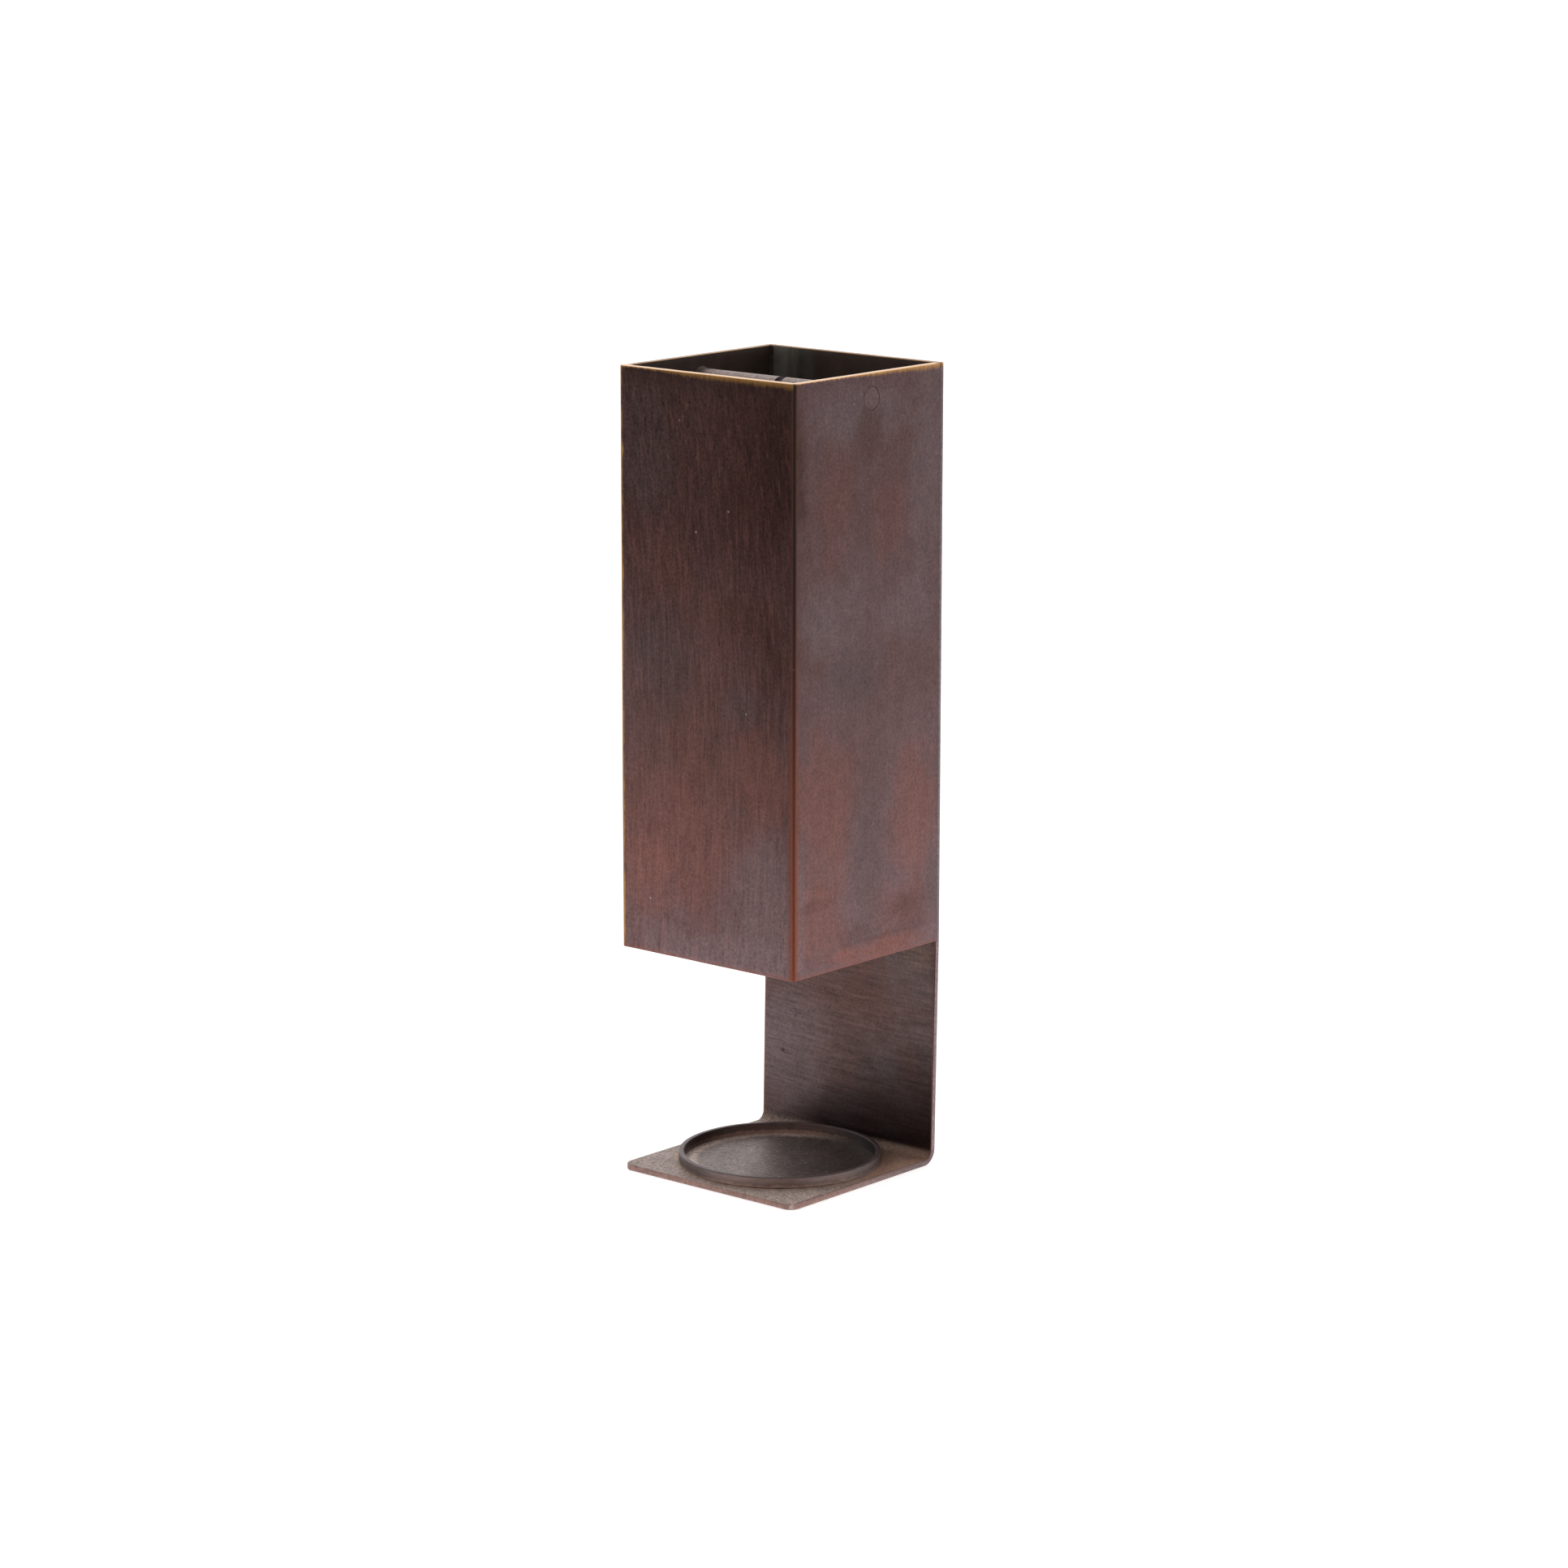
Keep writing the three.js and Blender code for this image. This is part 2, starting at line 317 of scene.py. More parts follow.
def chimney_cover():
    """The folded sheet: front wall and side walls, with a hole each side for the bar."""
    middle = Vector((0, 0, (RIM + CHIMNEY_BOTTOM) / 2))
    half_tall = (RIM - CHIMNEY_BOTTOM) / 2
    tall_steps = math.ceil(2 * half_tall / GRID)
    inner_round = EDGE_ROUND * 0.7
    loops = []
    for (outer_x, outer_y), (inner_x, inner_y) in cover_path():
        centre = Vector(((outer_x + inner_x) / 2, (outer_y + inner_y) / 2, 0)) + middle
        half = Vector((outer_x - inner_x, outer_y - inner_y, 0)) / 2
        outward = half.normalized()
        loop = []
        for along, through in section(half_tall, half.length, EDGE_ROUND, inner_round, tall_steps):
            point = centre + UP * along + outward * through
            wave = stray(centre + UP * along, WAVE_LENGTH, WAVE_HEIGHT, 7)
            fade = min(1.0, (BACK_INSIDE - centre.y) / WAVE_FADE)
            on_edge = abs(along) > half_tall - MM
            edge = stray(point, EDGE_STRAY_LENGTH, EDGE_STRAY, 11) if on_edge else 0.0
            loop.append(point + outward * wave * fade + UP * edge)
        loops.append(loop)
    cover = loft("chimney_cover_sheet", loops)
    bore_for_bar(cover)
    return cover


def bore_for_bar(cover):
    """Cuts the bar's two holes, a hair wider than the bar."""
    reach, radius = HALF_WIDTH + 5 * MM, BAR_RADIUS + HOLE_GAP
    cutter = loft("bar_bore", turned([(radius, -reach), (radius, reach)], BAR_STEPS, about_bar))
    bore = cover.modifiers.new("bar_bore", "BOOLEAN")
    bore.operation = "DIFFERENCE"
    bore.solver = "EXACT"
    bore.object = cutter
    bpy.context.view_layer.update()
    shaped = cover.evaluated_get(bpy.context.evaluated_depsgraph_get())
    mesh = bpy.data.meshes.new_from_object(shaped)
    cover.modifiers.clear()
    cover.data = mesh
    mesh.set_sharp_from_angle(angle=math.radians(SHARP_DEGREES))
    bpy.data.objects.remove(cutter)


# ---- the ring and the bar ----

def out_of_round(angle):
    """How the ring's width is stretched at an angle."""
    return 1 + OUT_OF_ROUND * math.cos(2 * angle + 0.7)


def candle_ring():
    """The low ring, its edges eased and its foot fitted to the start of the bend."""
    inside = RING_RADIUS - RING_WALL
    profile = [(inside, 0), (RING_RADIUS, 0)]
    profile += arc(RING_RADIUS - RING_EASE, RING_HEIGHT - RING_EASE, RING_EASE, 0, 90, ROUND_STEPS)
    profile += arc(inside + RING_EASE, RING_HEIGHT - RING_EASE, RING_EASE, 90, 180, ROUND_STEPS)
    highest_foot = RING_CENTRE.z + RING_HEIGHT - 0.2 * MM

    def place(radius, height, angle):
        point = RING_CENTRE + Vector((radius * math.cos(angle), radius * math.sin(angle), height))
        point.x *= out_of_round(angle)
        if height > RING_HEIGHT / 2:
            point.z += stray(point, RING_STRAY_LENGTH, RING_STRAY, 5)
        point.z = max(point.z, min(bend_height(point.y), highest_foot))
        return point

    return loft("candle_ring_strip", turned(profile, RING_STEPS, place), closed_along=True)


def about_bar(radius, along, angle):
    """A point at a radius and angle about the bar's axis, at a distance along it."""
    return BAR_CENTRE + Vector((along, radius * math.cos(angle), radius * math.sin(angle)))


def hanging_bar():
    """The round bar with a groove round its middle and its ends filed flush."""
    reach = HALF_WIDTH
    half_groove = GROOVE_WIDTH / 2
    beside_groove = half_groove + 0.25 * MM
    profile = [(BAR_RADIUS - BAR_CHAMFER, -reach), (BAR_RADIUS, -reach + BAR_CHAMFER)]
    for along in span(-reach + MM, -beside_groove, BAR_GRID):
        profile.append((BAR_RADIUS, along))
    for step in range(GROOVE_STEPS + 1):
        across = -1 + 2 * step / GROOVE_STEPS
        depth = GROOVE_DEPTH * math.sqrt(1 - across ** 4)
        profile.append((BAR_RADIUS - depth, across * half_groove))
    for along in span(beside_groove, reach - MM, BAR_GRID):
        profile.append((BAR_RADIUS, along))
    profile += [(BAR_RADIUS, reach - BAR_CHAMFER), (BAR_RADIUS - BAR_CHAMFER, reach)]

    def place(radius, along, angle):
        point = about_bar(radius, along, angle)
        if abs(along) < reach - 2 * MM:
            out = Vector((0, math.cos(angle), math.sin(angle)))
            point += out * stray(point, BAR_STRAY_LENGTH, BAR_STRAY, 9)
        return point

    return loft("hanging_bar_rod", turned(profile, BAR_STEPS, place), sharp_degrees=40)


# ---- the solder, a little thick and thin by turns ----

def corner_seam(side, name, node):
    """Solder run down an inside corner of the back wall."""
    low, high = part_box(node)
    leg = high.x - low.x
    corner_x = side * (HALF_WIDTH - SHEET)
    loops = []
    for z in span(low.z, high.z, GRID):
        size = leg * (0.85 + 0.3 * noise.noise(Vector((side * 3, 0, z / (9 * MM)))))
        loops.append([Vector((corner_x - side * a, BACK_INSIDE - b, z)) for a, b in fillet(size)])
    return loft(name, loops)


def bar_collar(side, name, node):
    """Solder round the bar, inside a side wall."""
    low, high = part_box(node)
    leg = high.x - low.x
    wall = side * (HALF_WIDTH - SHEET)

    def place(radius, along, angle):
        size = leg * (0.9 + 0.35 * noise.noise(Vector((math.cos(angle), math.sin(angle), side * 5))))
        return about_bar(BAR_RADIUS - SOLDER_LAP + radius * size, wall - side * along * size, angle)

    return loft(name, turned(fillet(1.0), COLLAR_STEPS, place), closed_along=True)


def ring_bead(name, node):
    """Solder round the foot of the ring, as far as the bend lets it run."""
    low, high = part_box(node)
    leg = high.z - low.z
    clear_of_bend = BEND_Y - 0.4 * MM
    stop = math.degrees(math.asin(min(1.0, (clear_of_bend - RING_CENTRE.y) / RING_RADIUS)))
    loops = []
    for degrees in span(180 - stop, 360 + stop, BEAD_STEP):
        angle = math.radians(degrees)
        out = Vector((math.cos(angle), math.sin(angle), 0))
        size = leg * (0.8 + 0.5 * noise.noise(out * 6))
        stretch = Vector((out_of_round(angle), 1, 1))
        loop = []
        for a, b in fillet(size):
            point = RING_CENTRE + out * (RING_RADIUS - SOLDER_LAP / 2 + a) + UP * b
            loop.append(point * stretch)
        loops.append(loop)
    return loft(name, loops)


# ---- colours ----

def tone(red, green, blue):
    """A colour given in display values from 0 to 255, as linear RGBA."""
    def linear(value):
        share = value / 255
        return share / 12.92 if share <= 0.04045 else ((share + 0.055) / 1.055) ** 2.4
    return (linear(red), linear(green), linear(blue), 1.0)


PURPLE_GREY = tone(117, 92, 94)
BROWN = tone(108, 76, 69)
RED_BROWN = tone(130, 86, 78)
DARK_RED = tone(88, 56, 50)
DEEP_RED = tone(60, 37, 33)
GREY_FILM = tone(127, 107, 109)
NEAR_BLACK = tone(76, 58, 53)
RING_BROWN = tone(114, 98, 94)
COOL_DARK = tone(98, 82, 83)
COPPER = tone(152, 86, 66)
AMBER = tone(150, 98, 56)
GOLD = tone(230, 170, 98)
RIM_BRASS = tone(236, 196, 158)
RIM_BROWN = tone(160, 128, 100)
SOOT = tone(100, 82, 73)
# green-grey of the painted sheen on the back wall's inside
PAINTED_GREEN_SHEEN = tone(118, 114, 107)
SOLDER_DARK = tone(84, 72, 64)
SOLDER_LIGHT = tone(106, 94, 84)
ARM_GREY = tone(114, 96, 95)
CUT_GREY = tone(140, 121, 124)
CUT_BROWN = tone(158, 122, 112)
DUST = tone(196, 173, 164)
RING_FLOOR = tone(132, 118, 113)
BAR_DUST = tone(172, 156, 150)
SAND = tone(176, 141, 110)
CAUGHT_DUST = tone(170, 144, 134)
SAND_RED = tone(178, 138, 116)
FLECK = tone(215, 205, 200)
WHITE = (1, 1, 1, 1)

# ---- places on the object for the materials, in millimetres ----

FRONT_MM, BACK_MM = FRONT / MM, BACK / MM
HALF_MM, RIM_MM, CHIMNEY_MM = HALF_WIDTH / MM, RIM / MM, CHIMNEY_BOTTOM / MM
SHEET_MM = SHEET / MM
RING_MM, RING_WALL_MM, RING_HEIGHT_MM = RING_RADIUS / MM, RING_WALL / MM, RING_HEIGHT / MM
RING_CENTRE_MM = (RING_CENTRE.x / MM, RING_CENTRE.y / MM, 0)
HALF_GROOVE_MM = GROOVE_WIDTH / MM / 2

# From here to there, a ramp along x or y passes from the other faces on to the named one.
TO_RIGHT_FACE = (HALF_MM - 0.6, HALF_MM - 0.2)
TO_FRONT_FACE = (FRONT_MM + 0.6, FRONT_MM + 0.2)

VIEWER_SIDE = (0.655, -0.755, 0)  # level and about towards the camera

BUMP_MM = 0.012  # height of the brushing's relief

# Soft patches of the patina on the front and right walls: tint, strength and the (centre, reach)
# of each patch.
PATCHES = [
    (RED_BROWN, 0.6, [
        ((-7, FRONT_MM, 98), (26, 8, 26)),
        ((-19, FRONT_MM, 83), (12, 8, 12)), ((20, FRONT_MM, 112), (12, 8, 15)),
        ((HALF_MM, -20, 74), (8, 14, 14)), ((HALF_MM, -18, 104), (8, 13, 27)),
        ((HALF_MM, 19, 99), (8, 11, 23)),
    ]),
    (RED_BROWN, 0.35, [
        ((4, FRONT_MM, 150), (18, 8, 24)), ((-16, FRONT_MM, 168), (12, 8, 12)),
        ((HALF_MM, -14, 184), (8, 8, 26)), ((HALF_MM, 8, 178), (8, 10, 14)),
        ((HALF_MM, 12, 74), (8, 18, 10)),
    ]),
    (GREY_FILM, 0.55, [
        ((22, FRONT_MM, 78), (19, 6, 26)), ((2, FRONT_MM, 64), (34, 6, 9)),
        ((HALF_MM, -16, 155), (8, 16, 12)), ((HALF_MM, 15, 153), (8, 12, 10)),
        ((HALF_MM, -4, 206), (8, 26, 9)), ((HALF_MM, 24, 192), (8, 10, 34)),
    ]),
    (COOL_DARK, 0.45, [
        ((-14, FRONT_MM, 143), (16, 6, 14)), ((14, FRONT_MM, 133), (9, 6, 5)),
        ((-20, FRONT_MM, 196), (14, 6, 20)), ((HALF_MM, -6, 138), (8, 14, 9)),
        ((HALF_MM, 0, 88), (8, 8, 34)), ((HALF_MM, 27, 78), (8, 5, 12)),
    ]),
    (DARK_RED, 0.5, [
        ((22, FRONT_MM, 190), (20, 6, 42)), ((25, FRONT_MM, 140), (9, 6, 20)),
        ((HALF_MM, -1, 203), (6, 7, 9)),
    ]),
    (DARK_RED, 0.3, [
        ((20, FRONT_MM, 196), (14, 6, 26)),
        ((HALF_MM, 14, 75), (6, 7, 4)), ((HALF_MM, -4, 70), (6, 12, 2.5)),
        ((HALF_MM, -22, 80), (6, 9, 2)), ((HALF_MM, 4, 67.5), (6, 22, 1)),
    ]),
    (COPPER, 0.35, [((HALF_MM, 6, 64.5), (8, 24, 3.2))]),
    (DEEP_RED, 0.45, [((25, FRONT_MM, 196), (9, 6, 22))]),
    (DARK_RED, 0.35, [((HALF_MM, 18, 72), (8, 11, 10)), ((16, FRONT_MM, 148), (14, 6, 14))]),
]


# ---- material building ----

class Graph:
    """Short calls for building a node tree. Each returns the new node's output."""

    def __init__(self, tree):
        self.tree = tree
        tree.nodes.clear()

    def node(self, kind, inputs=None, output=0, **settings):
        """Adds a node; an input is a plain value or another node's output."""
        made = self.tree.nodes.new(kind)
        for key, value in settings.items():
            setattr(made, key, value)
        for key, value in (inputs or {}).items():
            if isinstance(value, bpy.types.NodeSocket):
                self.tree.links.new(value, made.inputs[key])
            else:
                made.inputs[key].default_value = value
        return made.outputs[output]

    def parts(self, vector):
        """The three numbers of a vector."""
        return self.node("ShaderNodeSeparateXYZ", {0: vector}).node.outputs

    def end(self, kind, shader):
        """Links the finished shader to the tree's output."""
        self.tree.links.new(shader, self.tree.nodes.new(kind).inputs[0])

    def math(self, operation, *values):
        return self.node("ShaderNodeMath", dict(enumerate(values)), operation=operation)

    def add(self, *values):
        total = values[0]
        for value in values[1:]:
            total = self.math("ADD", total, value)
        return total

    def times(self, *values):
        product = values[0]
        for value in values[1:]:
            product = self.math("MULTIPLY", product, value)
        return product

    def less(self, first, second):
        return self.math("SUBTRACT", first, second)

    def inverse(self, share):
        return self.math("SUBTRACT", 1.0, share)

    def most(self, *values):
        top = values[0]
        for value in values[1:]:
            top = self.math("MAXIMUM", top, value)
        return top

    def ramp(self, value, start, stop, low=0.0, high=1.0):
        """low up to start, high from stop on, and a smooth step between; start may exceed stop."""
        inputs = {0: value, 1: start, 2: stop, 3: low, 4: high}
        return self.node("ShaderNodeMapRange", inputs, interpolation_type="SMOOTHSTEP")

    def blend(self, share, first, second):
        """A number that is first where share is 0 and second where it is 1."""
        return self.ramp(share, 0.0, 1.0, first, second)

    def vector(self, operation, *values):
        output = 1 if operation in ("LENGTH", "DOT_PRODUCT") else 0
        return self.node("ShaderNodeVectorMath", dict(enumerate(values)), output, operation=operation)

    def scaled(self, place, x, y, z):
        return self.vector("MULTIPLY", place, (x, y, z))

    def noise(self, place, size, detail, rough, seed):
        """Smooth noise around 0.5 with features about size apart."""
        moved = self.vector("ADD", place, (seed * 17.0, seed * 31.0, seed * 13.0))
        inputs = {"Vector": moved, "Scale": 1 / size, "Detail": detail, "Roughness": rough}
        return self.node("ShaderNodeTexNoise", inputs)

    def swing(self, field, gain):
        """Noise turned into a number that swings about 0."""
        return self.times(self.less(field, 0.5), gain)

    def mix(self, share, first, second):
        """first where share is 0, second where it is 1."""
        return self.node("ShaderNodeMix", {0: share, 6: first, 7: second}, 2, data_type="RGBA")

    def shade(self, colour, factor):
        """A colour made lighter or darker by a number."""
        if isinstance(colour, tuple):
            colour = colour[:3]
        return self.node("ShaderNodeVectorMath", {0: colour, 3: factor}, operation="SCALE")

    def cloud(self, place, centre, reach, ragged):
        """A soft patch: 1 at its centre and 0 past its reach, its edge shifted by a ragged field."""
        offset = self.vector("SUBTRACT", place, centre)
        spread = self.vector("LENGTH", self.vector("DIVIDE", offset, reach))
        return self.ramp(self.add(spread, ragged), 1.15, 0.35)

    def specks(self, place, spacing, radius, chosen, seed):
        """Scattered dots of about a radius; chosen is the share of cells that get one."""
        moved = self.vector("ADD", place, (seed * 7.0, seed * 3.0, seed * 11.0))
        distance = self.node("ShaderNodeTexVoronoi", {"Vector": moved, "Scale": 1 / spacing})
        lot = self.parts(distance.node.outputs["Color"])[0]
        dot = self.ramp(distance, radius / spacing, 0.5 * radius / spacing)
        return self.times(dot, self.math("LESS_THAN", lot, chosen))


class Metal(Graph):
    """A material under construction, with the fields that every material here may need.

    place (x, y, z) is the object's place and aside its distance from the middle plane, from_side,
    from_front, from_back and below_rim are distances inwards, on_right and on_front are 1 on that
    wall, and facing_x, facing_y and facing_z say which way the surface looks.
    """

    def __init__(self, name):
        self.material = bpy.data.materials.new(name)
        self.material.use_nodes = True
        super().__init__(self.material.node_tree)
        self.place = self.shade(self.node("ShaderNodeTexCoord", output=3), 1 / MM)
        self.x, self.y, self.z = self.parts(self.place)
        self.aside = self.math("ABSOLUTE", self.x)
        self.from_side = self.less(HALF_MM, self.aside)
        self.from_front = self.less(self.y, FRONT_MM)
        self.from_back = self.less(BACK_MM, self.y)
        self.below_rim = self.less(RIM_MM, self.z)
        self.on_right = self.ramp(self.x, *TO_RIGHT_FACE)
        self.on_front = self.ramp(self.y, *TO_FRONT_FACE)
        self.normal = self.node("ShaderNodeTexCoord", output=1)
        self.facing_x, self.facing_y, self.facing_z = self.parts(self.normal)

    def finish(self, colour, metallic, roughness, height, depth, anisotropy=0.0, tangent=None):
        """Links a Principled shader; height is a bump field and depth its size in millimetres."""
        bump = self.node("ShaderNodeBump", {"Height": height, "Distance": depth * MM, "Strength": 1.0})
        inputs = {"Base Color": colour, "Metallic": metallic, "Roughness": roughness,
                  "Anisotropic": anisotropy, "Normal": bump}
        if tangent is not None:
            inputs["Tangent"] = tangent
        self.end("ShaderNodeOutputMaterial", self.node("ShaderNodeBsdfPrincipled", inputs))
        return self.material


# ---- fields that several materials share ----

def soot_light(m):
    """How light the soot inside the chimney is, in blotches."""
    return m.add(m.noise(m.place, 6, 4, 0.6, seed=9), 0.5)


def satin(m):
    """The patina's roughness, a little uneven."""
    return m.add(m.times(m.noise(m.place, 4, 3, 0.6, seed=5), 0.2), 0.26)


def from_ring_axis(m):
    """Distance from the ring's axis."""
    offset = m.vector("SUBTRACT", m.place, RING_CENTRE_MM)
    return m.vector("LENGTH", m.scaled(offset, 1, 1, 0))


# ---- the chimney's patina, with painted light ----

def brushing(m):
    """Fine and broad brush lines up the faces, swept aside low down, and the grain between."""
    bend = m.times(m.math("POWER", m.less(m.z, 110.0), 2.0), 0.0006)
    swept = m.vector("ADD", m.place, m.node("ShaderNodeCombineXYZ", {0: bend, 1: bend}))
    lines = m.noise(m.scaled(swept, 1, 1, 0.06), 0.8, 2, 0.8, seed=2)
    broad_lines = m.noise(m.scaled(swept, 1, 1, 0.08), 3.2, 2, 0.5, seed=3)
    grain = m.noise(m.place, 0.8, 2, 0.9, seed=7)
    return lines, broad_lines, grain


def patina(m, lines):
    """The tints: brown to purple grey, redder high up, and the soft patches."""
    mottle = m.noise(m.scaled(m.place, 1, 1, 0.7), 20, 4, 0.6, seed=1)
    greyer = m.add(m.ramp(mottle, 0.3, 0.7, -0.25, 0.25), m.ramp(m.z, 66, 120, 0.6, 0.35),
                   m.times(m.on_right, 0.35))
    colour = m.mix(greyer, BROWN, PURPLE_GREY)
    redder = m.times(m.ramp(m.z, 135, 185, 0.0, 0.55), m.inverse(m.on_right))
    colour = m.mix(redder, colour, DARK_RED)

    elsewhere = m.inverse(m.most(m.on_front, m.on_right))
    blotch = m.noise(m.scaled(m.place, 1, 1, 0.6), 30, 4, 0.55, seed=50)
    colour = m.mix(m.times(m.ramp(blotch, 0.48, 0.66), elsewhere, 0.4), colour, RED_BROWN)
    colour = m.mix(m.times(m.ramp(blotch, 0.49, 0.33), elsewhere, 0.4), colour, GREY_FILM)

    ragged = m.swing(m.noise(m.place, 11, 5, 0.7, seed=4), 1.8)
    for tint, strength, places in PATCHES:
        for centre, reach in places:
            share = m.times(m.cloud(m.place, centre, reach, ragged), strength)
            colour = m.mix(share, colour, tint)
    in_lines = m.times(m.ramp(lines, 0.5, 0.75, 0.0, 0.3), m.inverse(m.on_right))
    return m.mix(in_lines, colour, RED_BROWN)


def brushing_and_painted_light(m, lines, broad_lines, grain):
    """How light the brushing and thin scratches make the tint, times painted light: lighter low on the
    walls and darker high up.
    """
    line_gain = m.times(m.ramp(m.z, 80, 180, 0.9, 1.5), m.blend(m.on_right, 1.0, 0.25))
    grain_gain = m.ramp(m.z, 120, 200, 1.2, m.blend(m.on_right, 2.0, 1.3))
    slanting = m.vector("ADD", m.place, m.node("ShaderNodeCombineXYZ", {0: m.times(m.z, 0.35)}))
    scratches = m.specks(m.scaled(slanting, 1, 1, 0.1), 5.0, radius=0.22, chosen=0.12, seed=9)
    streak = m.add(m.times(m.less(lines, 0.5), line_gain), m.swing(broad_lines, 0.15),
                   m.times(m.less(grain, 0.5), grain_gain), m.times(scratches, 0.35), 1.0)
    # Painted light: the front walls lighter low down and darker high up, the right wall a little lighter
    # low down.
    fall = m.times(m.ramp(m.z, 85, 185, 1.24, 0.98), m.inverse(m.on_right))
    fall_right = m.times(m.on_right, m.ramp(m.z, 85, 150, 1.13, 1.0))
    return m.times(streak, m.add(fall, fall_right))


def chimney_coat(m):
    """Colour, with painted light, and the brush lines of the chimney's patina, on any of its upright
    faces.
    """
    lines, broad_lines, grain = brushing(m)
    colour = m.shade(patina(m, lines), brushing_and_painted_light(m, lines, broad_lines, grain))
    return colour, lines


def worn_rim(m, colour, inside):
    """Gold rubbed down the rim's outside, longest by the front fold, and bare brass on top."""
    long_right = m.ramp(m.y, -20.0, 28.0, 0.5, 1.7)
    long_front = m.ramp(m.x, -28.0, 10.0, 0.6, 1.7)
    long = m.add(m.times(m.on_right, long_right), m.times(m.inverse(m.on_right), long_front))
    wavy = m.add(m.noise(m.scaled(m.place, 1, 1, 0.3), 4, 3, 0.7, seed=6), 0.5)
    fine = m.swing(m.noise(m.scaled(m.place, 1, 1, 0.2), 0.9, 2, 0.7, seed=26), 1.2)
    share_down = m.math("DIVIDE", m.add(m.below_rim, fine), m.times(long, wavy))
    rubbed = m.times(m.ramp(share_down, 1.15, -0.2), m.inverse(inside))
    bare = m.ramp(m.below_rim, 0.25, 0.08)
    far = m.most(m.ramp(m.y, 26.0, 28.0), m.ramp(m.x, -27.0, -29.0))
    rim = m.mix(m.times(far, m.inverse(m.ramp(m.y, -26.0, -28.0))), RIM_BRASS, RIM_BROWN)
    return m.mix(bare, m.mix(rubbed, colour, GOLD), rim), m.most(rubbed, bare)


def fold_wear_and_highlights(m, colour):
    """Copper worn through along the right front fold, lightened low down by painted light, and gold
    along the left one, partly wear and partly a painted highlight.
    """
    corner = m.add(m.from_side, m.from_front)
    from_fold = m.add(corner, m.swing(m.noise(m.place, 5, 3, 0.6, seed=8), 1.4))
    on_fold = m.ramp(corner, 1.2, 0.6)
    to_right = m.ramp(m.x, -5.0, 5.0)

    beside = m.times(m.ramp(from_fold, 2.4, 0.7), to_right, m.ramp(m.z, 100.0, 165.0, 0.8, 0.2))
    colour = m.mix(beside, colour, m.mix(m.ramp(m.z, 150.0, 200.0), COPPER, AMBER))
    along_fold = m.mix(m.ramp(m.z, 80.0, 170.0), COPPER, BROWN)
    # Painted light: the right fold lighter low down.
    along_fold = m.shade(along_fold, m.ramp(m.z, 80, 185, 1.6, 1.05))
    colour = m.mix(m.times(on_fold, to_right), colour, along_fold)
    # Gold down the left fold: worn brass made into a painted highlight.
    left_fold = m.times(m.ramp(from_fold, 1.2, 0.6), m.ramp(m.x, 5.0, -5.0))
    colour = m.mix(m.times(left_fold, 0.9), colour, GOLD)
    return colour, on_fold


def cover_material():
    m = Metal("chimney_patina")
    colour, lines = chimney_coat(m)
    deep_in = m.math("MINIMUM", m.from_side, m.from_front)
    inside = m.times(m.ramp(deep_in, 0.9, 1.3), m.ramp(m.below_rim, 0.1, 0.3))

    under_rim = m.times(m.ramp(m.below_rim, 7.0, 2.0), m.ramp(m.y, FRONT_MM + 1, FRONT_MM + 0.3), 0.35)
    colour = m.mix(under_rim, colour, m.shade(NEAR_BLACK, 0.7))
    colour, on_fold = fold_wear_and_highlights(m, colour)
    above_edge = m.less(m.z, CHIMNEY_MM)
    warm = m.add(m.swing(m.noise(m.place, 4, 3, 0.6, seed=18), 1.6), above_edge)
    colour = m.mix(m.ramp(warm, 1.4, 0.1, 0.0, 0.4), colour, COPPER)
    colour = m.mix(inside, colour, m.shade(SOOT, soot_light(m)))
    colour, worn = worn_rim(m, colour, inside)
    flecks = m.times(m.specks(m.place, 5.5, radius=0.36, chosen=0.16, seed=6), m.inverse(inside))
    flecks = m.times(flecks, m.ramp(m.x, *TO_RIGHT_FACE, 1.0, 0.15))
    colour = m.mix(m.times(flecks, 0.8), colour, FLECK)

    roughness = m.add(satin(m), m.times(worn, -0.06), m.times(inside, 0.2), m.times(on_fold, 0.2))
    metallic = m.add(m.times(worn, 0.1), m.times(inside, -0.6), m.times(flecks, -0.8),
                     m.times(on_fold, m.inverse(inside), -0.6), 0.9)
    height = m.add(m.times(lines, 0.6), m.times(m.noise(m.place, 0.5, 3, 0.6, seed=10), 0.4))
    tangent = m.vector("CROSS_PRODUCT", m.normal, (0, 0, 1))
    return m.finish(colour, metallic, roughness, height, BUMP_MM, 0.5, tangent)
